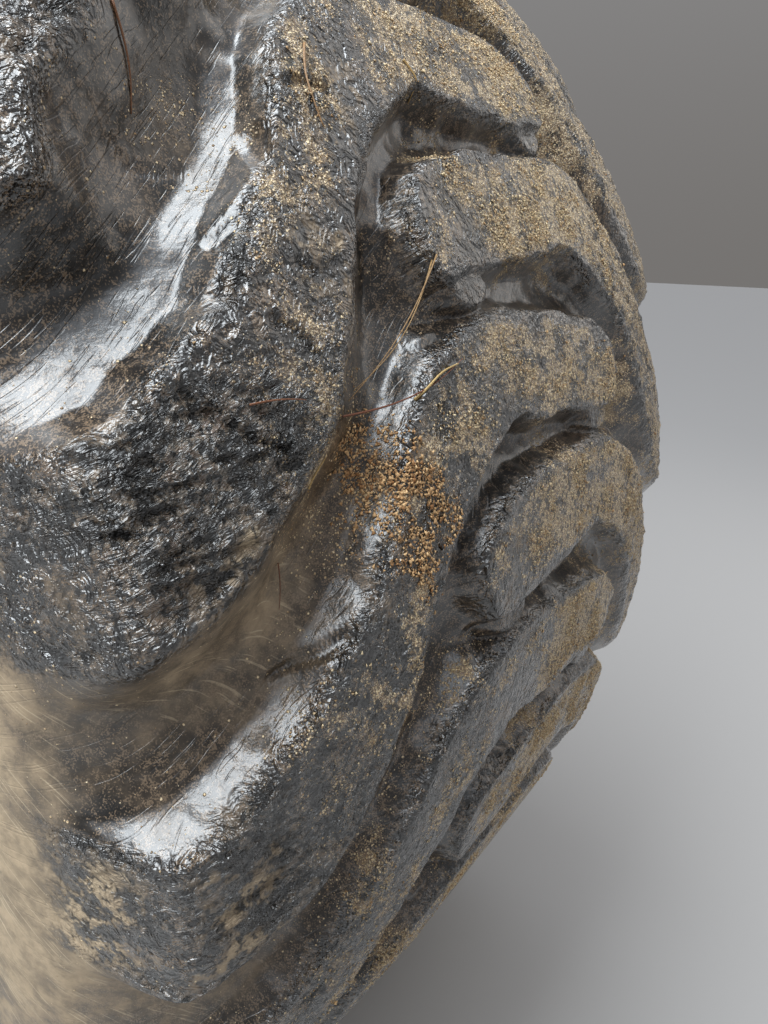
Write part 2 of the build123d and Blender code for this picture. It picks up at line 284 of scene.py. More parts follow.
def side_distance(place, turn, outline):
    """Distance inside (+) or outside (-) an outline, and the flank's width where it is nearest."""
    corners = outline[:, :2] * (1, pitch_length)
    x, y = place, turn * pitch_length
    nearest = np.full(x.shape, 1e9)
    width = np.zeros(x.shape)
    inside = np.zeros(x.shape, bool)
    for index, (ax, ay) in enumerate(corners):
        following = (index + 1) % len(corners)
        bx, by = corners[following]
        dx, dy = bx - ax, by - ay
        along = np.clip(((x - ax) * dx + (y - ay) * dy) / (dx * dx + dy * dy), 0, 1)
        gap = (x - ax - along * dx) ** 2 + (y - ay - along * dy) ** 2
        closer = gap < nearest
        nearest = np.where(closer, gap, nearest)
        own_width = outline[index, 2] * (1 - along) + outline[following, 2] * along
        width = np.where(closer, own_width, width)
        crosses = (ay > y) != (by > y)
        if dy:
            inside ^= crosses & (x < ax + (y - ay) * dx / dy)
    return np.where(inside, 1, -1) * np.sqrt(nearest), width


closed_outline = np.vstack([lug_outline, lug_outline[:2]])
round_outline = catmull(closed_outline, np.arange(0, len(lug_outline), 0.5))


def lug_shape(place, turn, push, edge):
    """Distance in mm inside the nearest lug's top edge, and height as a share of the lugs'."""
    best = np.full(place.shape, -1e3)
    height = np.ones(place.shape)
    for side in (-1, 1):
        own_place = -side * place
        own_turn = turn - 0.5 * (side + 1) / 2
        within = own_turn - np.floor(own_turn)
        near = (own_place < lug_nose) & (own_place > lug_foot)
        for step in (-1, 0, 1):
            found, width = side_distance(own_place[near], within[near] + step, round_outline)
            found += push[near]
            best[near] = np.maximum(best[near], found)
            broad = smooth((width - widest_steep) / broad_change)
            width = width + foot_run * (1 - broad)
            share = np.clip((found + width + edge[near]) / (width + edge_round), 0, 1)
            gentle = smooth(share / 1.5) / smooth(1 / 1.5)
            steep = (1 - knee_rise) * gentle + knee_rise * smooth((share - knee) / (1 - knee))
            rise = mix(broad, steep, 1 - (1 - share**2) ** 1.6)
            height[near] *= 1 - rise
    return best, 1 - height


def patches(place, turn, table):
    """Sum of round patches from rows of (place, turn, radius, amount), fading from a third of
    their radius outward."""
    total = np.zeros(place.shape)
    for at, turned, radius, amount in table:
        off = np.hypot(place - at, (turn - turned) * pitch_length)
        total += amount * smooth(1.5 - 1.5 * off / radius)
    return total


def strokes(place, turn, kind):
    """Depth or strength of the strokes of one kind, each fading out over its width."""
    total = np.zeros(place.shape)
    for what, strength, wide, line in stroke_table:
        if what != kind:
            continue
        line = np.array(line)
        near = (np.abs(place - line[:, 0].mean()) < 80) & (np.abs(turn - line[:, 1].mean()) < 0.6)
        x, y = place[near], turn[near] * pitch_length
        gap = np.full(x.shape, 1e9)
        ends = line * (1, pitch_length)
        for (ax, ay), (bx, by) in zip(ends[:-1], ends[1:]):
            dx, dy = bx - ax, by - ay
            along = np.clip(((x - ax) * dx + (y - ay) * dy) / (dx * dx + dy * dy), 0, 1)
            gap = np.minimum(gap, np.hypot(x - ax - along * dx, y - ay - along * dy))
        total[near] += strength * smooth(1.5 - gap / wide)
    return total


def bar_height(place, turn):
    """Height of the bars between lugs, as a share of the lugs' height."""
    best = np.zeros(place.shape)
    for side in (-1, 1):
        own_place = -side * place
        own_turn = turn - 0.5 * (side + 1) / 2
        for at, turned, long, wide, height in bar_table:
            off = own_turn - turned
            off = (off - np.round(off)) * pitch_length
            reach = np.hypot((own_place - at) / long, off / wide)
            best = np.maximum(best, height * smooth(1.6 - reach))
    return best


def grid_normals(points):
    """Unit normals of a grid of points, rows along the section and columns right round the wheel."""
    across = np.gradient(points, axis=0)
    wrapped = np.concatenate([points[:, -2:-1], points, points[:, 1:2]], axis=1)
    round_wheel = np.gradient(wrapped, axis=1)[:, 1:-1]
    normals = np.cross(across, round_wheel)
    return normals / np.linalg.norm(normals, axis=-1, keepdims=True)


def section_places(outboard_step, inboard_step):
    """Rows of section_table, signed by side and in parts of a row, about a step apart."""
    tops = np.array(section_table, float)[:, :2]
    fine = np.linspace(0, len(tops) - 1, 2000)
    line = catmull(tops, fine)
    run = np.concatenate([[0], np.cumsum(np.linalg.norm(np.diff(line, axis=0), axis=1))])
    foot = np.interp(wall_row, fine, run)
    sides = []
    for step in (outboard_step, inboard_step):
        tread = np.arange(0, foot, step)
        wall = np.linspace(foot, run[-1], int((run[-1] - foot) / step) + 1)
        sides.append(np.interp(np.concatenate([tread, wall]), run, fine))
    return np.concatenate([-sides[0][:0:-1], sides[1]])


def bare_skin(turns, rows):
    """The tyre before wear: its points, each one's place, turn and radius, how far it lies inside
    a lug's top edge, and its height as a share of the lugs'."""
    section = catmull(section_table, np.abs(rows))
    sign = np.sign(rows)
    lean = np.interp(section[:, 0], *np.transpose(lean_table))
    place = np.repeat((sign * section[:, 0])[:, None], len(turns), axis=1)
    turn = turns[None, :] + lean[:, None]
    angle = np.radians(turn * pitch + lug_start)

    ring = np.stack([usual_radius * np.cos(angle), place, usual_radius * np.sin(angle)], axis=-1)
    warp_place = place + lug_warp * cloud(ring, warp_size, 2, seed=1)
    warp_turn = turn + lug_warp / pitch_length * cloud(ring, warp_size, 2, seed=2)
    push = patches(place, turn, swell_table)
    edge = edge_warp * cloud(ring, edge_size, 2, seed=3)
    distance, height = lug_shape(warp_place, warp_turn, push, edge)
    height = np.maximum(height, bar_height(warp_place, warp_turn))

    share = height[..., None]
    mixed = (1 - share) * section[:, None, 2:] + share * section[:, None, :2]
    y = middle + sign[:, None] * mixed[..., 0]
    radius = mixed[..., 1]
    points = np.stack([radius * np.cos(angle), y, radius * np.sin(angle)], axis=-1)
    return points, place, turn, radius, distance, height


def torn_amount(points, place, turn, distance, top, tread):
    """How torn the rubber is, 0 to 1: on the shoulders, along the lugs' edges and in patches."""
    shoulder = smooth((np.abs(place) - 190) / 70) * tread
    torn = top * np.clip(0.75 * shoulder * smooth(0.2 + 1.4 * cloud(points, 110, 2, seed=6)), 0, 1)
    edge_band = smooth(1 - np.abs(distance - edge_round) / 9) * tread
    torn = torn + 0.8 * edge_band * smooth(0.3 + 1.3 * cloud(points, 40, 2, seed=14))
    return np.clip(torn + top * patches(place, turn, torn_patches), 0, 1)


def sand_amount(points, place, top, valley, torn, tread):
    """How thick the sawdust lies, 0 to 1: most on the crowns past the middle."""
    outboard = 1 - smooth((place + 130) / 190)
    centre = smooth((place + 300) / 150)
    drift = cloud(points, 55, 4, seed=8, gain=0.6)
    sand = 0.02 + 0.24 * centre * top + 0.80 * (1 - outboard) * top + 0.7 * drift * centre
    return np.clip(sand * tread * (1 - 0.85 * valley * outboard) - 0.1 * torn, 0, 1)


def wear_lift(points, place, turn, top, torn, sand):
    """How far wear, flakes, splits and heaps of sawdust raise the skin or sink it."""
    worn = 1.2 * cloud(points, 34, 3, seed=4) + 0.5 * cloud(points, 8, 2, seed=5)
    shreds = 1 - np.abs(cloud(points * (1, 0.55, 2.2), 17, 3, seed=7, gain=0.6))
    heap = smooth((sand - 0.45) / 0.3) * (0.9 + 0.9 * cloud(points, 7, 3, seed=12))
    lift = worn * (0.3 + 0.7 * top) + torn * (4.6 * shreds - 3.7) + 1.6 * heap
    return lift - strokes(place, turn, "split")


def mud_amount(points, place, turn, radius, top, valley, tread):
    """How thick the mud lies, 0 to 1: most on the side walls and the outer ends of the valleys."""
    wall = np.maximum(smooth((np.abs(place) - wall_place) / 20), 1 - tread)
    outer_end = smooth((np.abs(place) - 140) / 110)
    by_bead = smooth((395 - radius) / 35)
    uneven = cloud(points, 120, 4, seed=9, gain=0.6)
    silt = smooth(1.8 * cloud(points, 48, 4, seed=15, gain=0.65) - 0.1)
    mud = 0.15 + 0.64 * wall + 0.30 * valley * outer_end
    mud = mud + (0.18 + 0.08 * wall) * uneven + patches(place, turn, mud_patches)
    mud = mud - 0.25 * by_bead * wall
    mud = mud + 0.36 * top * silt
    return np.clip(mud + strokes(place, turn, "mud"), 0, 1)


def tyre_skin(turns, rows):
    """Points, normals and surface values of the worn tyre, for columns at turns and rows of the
    section."""
    points, place, turn, radius, distance, height = bare_skin(turns, rows)
    tread = smooth((wall_row + 0.1 - np.abs(rows)) / 1.2)[:, None]
    top = smooth((distance - 2) / 14) * tread
    valley = (1 - height) * tread
    torn = torn_amount(points, place, turn, distance, top, tread)
    sand = sand_amount(points, place, top, valley, torn, tread)
    lift = wear_lift(points, place, turn, top, torn, sand)
    points = points + grid_normals(points) * lift[..., None]
    reach = np.linalg.norm(points[..., [0, 2]], axis=-1)
    points[..., [0, 2]] *= np.minimum(1, (tip_radius - tip_clearance) / reach)[..., None]
    return {
        "points": points,
        "normals": grid_normals(points),
        "flat": np.stack([place, turn * pitch_length], axis=-1),
        "place": place,
        "turn": turn,
        "mud": mud_amount(points, place, turn, radius, top, valley, tread),
        "sand": sand,
        "torn": torn,
        "scuff": np.maximum(1 - smooth((height - 0.72) / 0.26), 1 - tread),
    }


def placed(name, data):
    """A new object of the scene that holds data."""
    made = bpy.data.objects.new(name, data)
    bpy.context.scene.collection.objects.link(made)
    return made


def grid_object(name, points, normals, values, flat):
    """A mesh object from a grid of points in mm, with smooth normals, a map and point values."""
    rows, columns = points.shape[:2]
    index = np.arange(rows * columns).reshape(rows, columns)
    corners = [index[:-1, :-1], index[1:, :-1], index[1:, 1:], index[:-1, 1:]]
    quads = np.stack(corners, axis=-1).reshape(-1, 4)
    mesh = bpy.data.meshes.new(name)
    mesh.vertices.add(rows * columns)
    mesh.vertices.foreach_set("co", (points / metre).astype(np.float32).ravel())
    mesh.loops.add(quads.size)
    mesh.loops.foreach_set("vertex_index", quads.astype(np.int32).ravel())
    mesh.polygons.add(len(quads))
    mesh.polygons.foreach_set("loop_start", np.arange(0, quads.size, 4, dtype=np.int32))
    mesh.update(calc_edges=True)
    mesh.shade_smooth()
    mesh.normals_split_custom_set_from_vertices(normals.reshape(-1, 3).astype(np.float32))
    layer = mesh.uv_layers.new(name="Unrolled")
    unrolled = (flat / metre).reshape(-1, 2)[quads.ravel()]
    layer.data.foreach_set("uv", unrolled.astype(np.float32).ravel())
    for key, value in values.items():
        attribute = mesh.attributes.new(key, "FLOAT", "POINT")
        attribute.data.foreach_set("value", value.astype(np.float32).ravel())
    return placed(name, mesh)


# Materials
def add_node(tree, kind, inputs=(), **settings):
    """A shader node with its settings, and its inputs by number or name: a value or a socket."""
    made = tree.nodes.new("ShaderNode" + kind)
    for key, value in settings.items():
        setattr(made, key, value)
    for key, value in dict(inputs).items():
        if isinstance(value, bpy.types.NodeSocket):
            tree.links.new(value, made.inputs[key])
        else:
            made.inputs[key].default_value = value
    return made


def start_material(name):
    """A new material and its empty node tree."""
    material = bpy.data.materials.new(name)
    material.use_nodes = True
    tree = material.node_tree
    tree.nodes.clear()
    return material, tree


def finish_material(tree, **inputs):
    """A principled shader, whose inputs are named in lower case with underscores."""
    titles = {key: key.replace("_", " ").title().replace("Ior", "IOR") for key in inputs}
    shader = add_node(tree, "BsdfPrincipled", {titles[key]: value for key, value in inputs.items()})
    output = add_node(tree, "OutputMaterial")
    tree.links.new(shader.outputs[0], output.inputs[0])


def math_node(tree, operation, *values):
    return add_node(tree, "Math", enumerate(values), operation=operation).outputs[0]


def multiply(tree, first, *others):
    for other in others:
        first = math_node(tree, "MULTIPLY", first, other)
    return first


def add(tree, first, *others):
    for other in others:
        first = math_node(tree, "ADD", first, other)
    return first


def subtract(tree, first, second):
    return math_node(tree, "SUBTRACT", first, second)


def multiply_colour(tree, colour, amount):
    inputs = {0: 1.0, 6: colour, 7: (amount, amount, amount, 1)}
    return add_node(tree, "Mix", inputs, data_type="RGBA", blend_type="MULTIPLY").outputs[2]


def ramp(tree, value, low, high):
    """0 below low, 1 above high, smooth between."""
    inputs = {0: value, 1: low, 2: high}
    return add_node(tree, "MapRange", inputs, interpolation_type="SMOOTHSTEP").outputs[0]


def mix_colour(tree, share, first, second):
    inputs = {0: share, 6: first, 7: second}
    return add_node(tree, "Mix", inputs, data_type="RGBA").outputs[2]


def mix_value(tree, share, first, second):
    inputs = {0: share, 2: first, 3: second}
    return add_node(tree, "Mix", inputs, data_type="FLOAT").outputs[0]


def noise(tree, where, scale, detail=3.0, roughness=0.55, distortion=0.0):
    """Noise in about 0..1, with scale lumps to a metre."""
    inputs = {
        "Vector": where,
        "Scale": scale,
        "Detail": detail,
        "Roughness": roughness,
        "Distortion": distortion,
    }
    return add_node(tree, "TexNoise", inputs).outputs[0]


def stretched(tree, where, scale, turn=0.0, tip=0.0):
    """Coordinates turned about Z and tipped about Y, then scaled."""
    inputs = {0: where, 2: (0, tip, turn), 3: [1 / share for share in scale]}
    return add_node(tree, "Mapping", inputs, vector_type="TEXTURE").outputs[0]


def value_of(tree, name):
    """A value that the mesh carries at its points."""
    return add_node(tree, "Attribute", attribute_name=name).outputs["Fac"]


def ridges(tree, value):
    """Sharp creases where noise crosses its middle."""
    return math_node(tree, "ABSOLUTE", subtract(tree, value, 0.5))


def rgb(red, green, blue):
    """A colour as a node's input takes it."""
    return (red, green, blue, 1.0)


black_rubber, brown_rubber = rgb(0.004, 0.004, 0.004), rgb(0.020, 0.014, 0.010)
damp_earth, dry_earth = rgb(0.165, 0.118, 0.074), rgb(0.55, 0.42, 0.27)


def rubber_material():
    """Black rubber, wet and scuffed, under a brown film of mud and grains of sawdust."""
    material, tree = start_material("worn_rubber")
    where = add_node(tree, "TexCoord").outputs["Object"]
    unrolled = add_node(tree, "UVMap", uv_map="Unrolled").outputs[0]
    mud, sand, torn, scuff = (value_of(tree, name) for name in ("mud", "sand", "torn", "scuff"))
    broad = noise(tree, where, 14, 3)
    smear = noise(tree, where, 60, 4, 0.65)
    middling = noise(tree, where, 250, 1, 0.5)
    grit = noise(tree, where, 1100, 1, 0.5)
    whole = subtract(tree, 1.0, scuff)

    # Bare rubber, pale grey where it is frayed (its own paler tone together with a painted sheen), dusty on
    # its grit and brown in flecks
    base = mix_colour(tree, ramp(tree, broad, 0.4, 0.65), black_rubber, brown_rubber)
    # Frayed rubber: partly its own paler grey, partly a painted sheen that stands in for glints of the sky
    frayed_and_sheen = multiply(tree, torn, ramp(tree, middling, 0.42, 0.62))
    base = mix_colour(tree, frayed_and_sheen, base, rgb(0.25, 0.222, 0.185))
    dust = add(tree, grit, multiply(tree, middling, 0.6), multiply(tree, broad, 0.3))
    base = mix_colour(tree, multiply(tree, ramp(tree, dust, 0.95, 1.11), 0.75), base, rgb(0.24, 0.17, 0.11))
    flecks = multiply(tree, torn, ramp(tree, smear, 0.48, 0.62), ramp(tree, middling, 0.5, 0.6))
    base = mix_colour(tree, multiply(tree, flecks, 0.8), base, rgb(0.105, 0.062, 0.042))

    # Film of mud, blotched, with scratches where it is thick
    lines = noise(tree, stretched(tree, where, (16, 60, 700), tip=0.75), 1.0, 2, 0.6)
    scratch = multiply(tree, ramp(tree, lines, 0.60, 0.68), ramp(tree, mud, 0.4, 0.8))
    film = multiply(tree, ramp(tree, add(tree, mud, subtract(tree, smear, 0.5)), 0.2, 1.0), 0.92)
    earth = mix_colour(tree, ramp(tree, mud, 0.4, 1.05), damp_earth, dry_earth)
    blotch = ramp(tree, add(tree, smear, multiply(tree, broad, 0.8)), 0.72, 1.08)
    earth = mix_colour(tree, blotch, multiply_colour(tree, earth, 0.58), earth)
    earth = mix_colour(tree, scratch, earth, rgb(0.60, 0.48, 0.32))
    base = mix_colour(tree, film, base, earth)

    # Grains of sawdust in two sizes, in patches, with powder under the thickest that is darkened as painted
    # shade between the grains
    patch = subtract(tree, noise(tree, where, 60, 3, 0.75), 0.5)
    patchy = multiply(tree, patch, 5.4, ramp(tree, sand, 0.0, 0.3))
    wanted = add(tree, multiply(tree, sand, 1.35), patchy)
    grains = []
    for scale in (620.0, 1300.0):
        cells = add_node(tree, "TexVoronoi", {"Vector": where, "Scale": scale})
        pick = add_node(tree, "SeparateColor", {0: cells.outputs["Color"]})
        chosen = math_node(tree, "LESS_THAN", pick.outputs[0], multiply(tree, wanted, 0.7))
        round_top = ramp(tree, cells.outputs["Distance"], 0.6, 0.3)
        grains.append((multiply(tree, chosen, round_top), pick.outputs[1]))
    grain = math_node(tree, "MAXIMUM", grains[0][0], grains[1][0])
    tone = mix_colour(tree, grains[1][1], rgb(0.40, 0.24, 0.11), rgb(1.0, 0.83, 0.54))
    bare = multiply(tree, whole, ramp(tree, patch, 0.03, -0.06))
    base = mix_colour(tree, multiply(tree, bare, 0.88), base, rgb(0.0045, 0.004, 0.0035))
    # Powder under thick sawdust: its own tan, darkened as painted shade in the gaps between the grains
    powder_and_shade = multiply(tree, ramp(tree, wanted, 0.35, 0.9), 0.8)
    colour = mix_colour(tree, powder_and_shade, base, rgb(0.22, 0.145, 0.078))
    colour = mix_colour(tree, grain, colour, tone)
    # Pits: near-black spots painted as the shade inside small pits, which have no relief of their own
    shaded_pits = multiply(tree, whole, ramp(tree, add(tree, middling, multiply(tree, smear, 0.6)), 0.80, 0.66))
    colour = mix_colour(tree, multiply(tree, shaded_pits, 0.85), colour, rgb(0.004, 0.0035, 0.003))

    # Relief: pebbles and crinkles on the tops, cracks in the valleys, fibres where it is torn
    pebbled = multiply(tree, whole, ramp(tree, noise(tree, where, 26, 2, 0.65), 0.47, 0.59))
    pebbles = ramp(tree, noise(tree, where, 420, 1, 0.5), 0.5, 0.64)
    wrinkles = noise(tree, stretched(tree, unrolled, (34, 480, 1), 0.7), 1.0, 1, 0.5, 0.5)
    crack = multiply(tree, ramp(tree, wrinkles, 0.42, 0.34), ramp(tree, scuff, 0.3, 0.9))
    crinkle = ridges(tree, noise(tree, where, 95, 2, 0.65, 0.8))
    fibres = ridges(tree, noise(tree, stretched(tree, unrolled, (110, 340, 1), 0.3), 1.0, 2, 0.6, 0.8))
    relief = add(
        tree,
        multiply(tree, middling, add(tree, 0.08, multiply(tree, whole, 0.14), multiply(tree, pebbled, 0.8))),
        multiply(tree, grit, add(tree, 0.025, multiply(tree, whole, 0.08))),
        multiply(tree, crack, -0.045),
        multiply(tree, grain, 0.25),
        multiply(tree, torn, fibres, -3.2),
        multiply(tree, pebbled, pebbles, 0.32),
        multiply(tree, crinkle, whole, -2.6),
    )
    bump = add_node(tree, "Bump", {"Strength": 1.0, "Distance": 0.003, "Height": relief}).outputs[0]

    # Gloss: wet rubber shines, and mud, grains and pits are dull
    uncaked = subtract(tree, 1.0, multiply(tree, bare, 0.8))
    caked = multiply(tree, film, ramp(tree, mud, 0.2, 0.8), uncaked)
    dry = math_node(tree, "MAXIMUM", caked, grain)
    dull = math_node(tree, "MAXIMUM", dry, multiply(tree, shaded_pits, 0.5))
    rough = mix_value(tree, ramp(tree, smear, 0.35, 0.7), 0.13, 0.26)
    rough = mix_value(tree, scuff, rough, 0.28)
    rough = mix_value(tree, dull, rough, 0.75)
    wet = subtract(tree, 1.0, dry)
    finish_material(
        tree,
        base_color=colour,
        roughness=rough,
        normal=bump,
        specular_ior_level=0.8,
        coat_weight=multiply(tree, wet, add(tree, 0.6, multiply(tree, whole, 0.4))),
        coat_roughness=0.17,
        coat_normal=bump,
    )
    return material


def grain_material(name, dark, pale, rough):
    """Sawdust, crumbs or needles: each piece of the mesh has its own tone."""
    material, tree = start_material(name)
    where = add_node(tree, "TexCoord").outputs["Object"]
    tone = mix_colour(tree, value_of(tree, "tone"), rgb(*dark), rgb(*pale))
    speck = noise(tree, where, 2200, 2)
    colour = mix_colour(tree, ramp(tree, speck, 0.62, 0.45), multiply_colour(tree, tone, 0.45), tone)
    bump = add_node(tree, "Bump", {"Strength": 0.5, "Distance": 0.0003, "Height": speck}).outputs[0]
    finish_material(tree, base_color=colour, roughness=rough, normal=bump)
    return material


# Tyre
def make_tyre(material):
    """The tyre's skin in sectors, fine where the photograph looks and coarser round the back."""
    fine = np.linspace(first_seen, last_seen, fine_columns)
    coarse = np.linspace(last_seen, first_seen + lug_count, coarse_columns)
    turns = np.concatenate([fine, coarse[1:]])
    skin = tyre_skin(turns, section_places(fine_step, coarse_step))
    last_fine = fine_columns - 1
    cuts = [0, fine_columns // 2, last_fine, last_fine + coarse_columns // 2, len(turns) - 1]
    for number, (start, stop) in enumerate(zip(cuts[:-1], cuts[1:]), 1):
        part = slice(start, stop + 1)
        piece = grid_object(
            f"tyre_rubber_{number}",
            skin["points"][:, part],
            skin["normals"][:, part],
            {key: skin[key][:, part] for key in ("mud", "sand", "torn", "scuff")},
            skin["flat"][:, part],
        )
        piece.data.materials.append(material)
        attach(piece, "wheel")
        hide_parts("tyre")
    return {key: value[:, : len(fine)] for key, value in skin.items()}


def loose_mesh(name, shapes, tones, material):
    """One mesh from many small shapes, each (points, faces), with a tone for each."""
    mesh = bpy.data.meshes.new(name)
    points = np.concatenate([shape for shape, _ in shapes])
    lengths = [len(shape) for shape, _ in shapes]
    starts = np.cumsum([0] + lengths)
    faces = [
        tuple(start + i for i in face)
        for start, (_, shape_faces) in zip(starts, shapes)
        for face in shape_faces
    ]
    mesh.from_pydata((points / metre).tolist(), [], faces)
    mesh.shade_smooth()
    tone = np.repeat(tones, lengths)
    mesh.attributes.new("tone", "FLOAT", "POINT").data.foreach_set("value", tone.astype(np.float32))
    mesh.materials.append(material)
    made = placed(name, mesh)
    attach(made, "wheel")


# A chip of wood: two low pyramids on one triangle
chip = np.array([(1, 0, 0), (-0.5, 0.87, 0), (-0.5, -0.87, 0), (0, 0, 1), (0, 0, -1)], float)
chip_faces = [(0, 1, 3), (1, 2, 3), (2, 0, 3), (1, 0, 4), (2, 1, 4), (0, 2, 4)]


def scatter(skin, name, count, weight, sizes, material, seed):
    """Small chips of wood strewn over the skin, thickest where weight is largest."""
    pick = np.random.default_rng(seed)
    points, normals = skin["points"], skin["normals"]
    cell = np.linalg.norm(points[1:, :-1] - points[:-1, :-1], axis=-1)
    cell = cell * np.linalg.norm(points[:-1, 1:] - points[:-1, :-1], axis=-1)
    chance = (weight[:-1, :-1] * cell).ravel()
    row, column = np.divmod(pick.choice(chance.size, count, p=chance / chance.sum()), cell.shape[1])
    u, v = pick.random((2, count, 1))
    corners = [points[row + i, column + j] for i, j in ((0, 0), (1, 0), (0, 1), (1, 1))]
    near_side = corners[0] * (1 - u) + corners[1] * u
    far_side = corners[2] * (1 - u) + corners[3] * u
    spots = near_side * (1 - v) + far_side * v
    outward = normals[row, column]
    shapes = []
    for spot, out in zip(spots, outward):
        size = sizes[0] + (sizes[1] - sizes[0]) * pick.random() ** 2.5
        spread = pick.uniform(0.5, 1.3, 3) * (1, 0.7, 0.5) * size / 2
        jitter = pick.uniform(0.7, 1.3, (5, 3))
        turned = np.array(Vector(out).to_track_quat("Z", "Y").to_matrix())
        twist = np.array(Matrix.Rotation(pick.uniform(0, 2 * np.pi), 3, "Z"))
        shape = (chip * jitter * spread) @ (turned @ twist).T
        shapes.append((shape + spot + out * spread[2] * 0.6, chip_faces))
    loose_mesh(name, shapes, pick.random(count), material)


def skin_radius(skin, place, turn):
    """Distance from the wheel axis to the skin at a place and a turn."""
    off = (skin["place"] - place) ** 2 + ((skin["turn"] - turn) * pitch_length) ** 2
    x, _, z = skin["points"][np.unravel_index(np.argmin(off), off.shape)]
    return np.hypot(x, z)


# Pine needles and twigs that lie on the tread
# columns: start's place and turn, end's place and turn, bow to one side, thickness, tone
needle_table = [
    (-247, 1.93, -245, 1.735, 3, 1.3, 0.15),
    (-155, 1.83, -167, 1.61, -5, 1.5, 0.35),
    (-67, 1.85, -60, 1.76, 1, 1.5, 0.75),
    (-112, 1.28, -195, 0.97, 5, 1.0, 0.45),
    (-114, 1.27, -186, 0.99, 8, 1.0, 0.55),
    (-208, 0.94, -113, 1.00, -6, 1.2, 0.05),
    (-156, 0.93, -118, 0.99, 3, 1.8, 0.95),
    (-262, 1.02, -232, 1.00, 1, 1.1, 0.1),
    (-236, 0.80, -222, 0.86, 1, 1.3, 0.8),
    (-243, 0.62, -247, 0.50, 1, 0.7, 0.05),
    (-168, 0.16, -161, 0.08, 1, 0.9, 0.1),
]


def make_needles(skin, material):
    """Thin tapered rods that rest on the skin and span its hollows."""
    shapes = []
    sides = 6
    steps = 16
    share = np.linspace(0, 1, steps)
    for start_place, start_turn, end_place, end_turn, bow, thick, _ in needle_table:
        run = np.array([end_place - start_place, (end_turn - start_turn) * pitch_length])
        aside = bow * np.sin(np.pi * share) / np.hypot(*run)
        place = start_place + run[0] * share - run[1] * aside
        turn = start_turn + (run[1] * share + run[0] * aside) / pitch_length
        under = np.array([skin_radius(skin, *spot) for spot in zip(place, turn)]) + 0.8
        radius = np.maximum(under, under[0] + (under[-1] - under[0]) * share)
        for _ in range(4):
            radius[1:-1] = (radius[:-2] + 2 * radius[1:-1] + radius[2:]) / 4
        angle = np.radians(turn * pitch + lug_start)
        line = np.stack([radius * np.cos(angle), middle + place, radius * np.sin(angle)], axis=-1)
        along = np.gradient(line, axis=0)
        along /= np.linalg.norm(along, axis=1, keepdims=True)
        first = np.cross(along, line * (1, 0, 1))
        first /= np.linalg.norm(first, axis=1, keepdims=True)
        second = np.cross(along, first)
        girth = thick / 2 * np.linspace(1, 0.45, steps)[:, None]
        rings = [
            line + girth * (np.cos(about) * first + np.sin(about) * second)
            for about in np.linspace(0, 2 * np.pi, sides, endpoint=False)
        ]
        points = np.stack(rings, axis=1).reshape(-1, 3)
        index = np.arange(steps * sides).reshape(steps, sides)
        beside = np.roll(index, -1, axis=1)
        quads = np.stack([index[:-1], beside[:-1], beside[1:], index[1:]], axis=-1)
        faces = quads.reshape(-1, 4).tolist() + [index[0, ::-1].tolist(), index[-1].tolist()]
        shapes.append((points, faces))
    loose_mesh("pine_needles", shapes, [row[-1] for row in needle_table], material)


rubber = rubber_material()
near_skin = make_tyre(rubber)
sawdust = grain_material("sawdust", (0.42, 0.24, 0.10), (1.0, 0.82, 0.52), 0.7)
crumb = grain_material("crumbs", (0.36, 0.17, 0.06), (0.98, 0.66, 0.34), 0.7)
needle = grain_material("needles", (0.17, 0.045, 0.022), (0.62, 0.43, 0.17), 0.5)

# Loose wood lies where the photograph shows the tread, and thins out past it
seen = smooth((near_skin["place"] + 345) / 60) * smooth((210 - near_skin["place"]) / 120)
drifts = near_skin["sand"] ** 1.7 * smooth(0.45 + 1.3 * cloud(near_skin["points"], 26, 3, seed=15))
scatter(near_skin, "sawdust_grains", grain_count, drifts * seen, grain_sizes, sawdust, 21)
heap = patches(near_skin["place"], near_skin["turn"], crumb_patches)
heap *= smooth(0.6 + 1.6 * cloud(near_skin["points"], 15, 2, seed=18))
weight = heap + 0.003 * near_skin["sand"]
scatter(near_skin, "wood_crumbs", crumb_count, weight, crumb_sizes, crumb, 22)
make_needles(near_skin, needle)


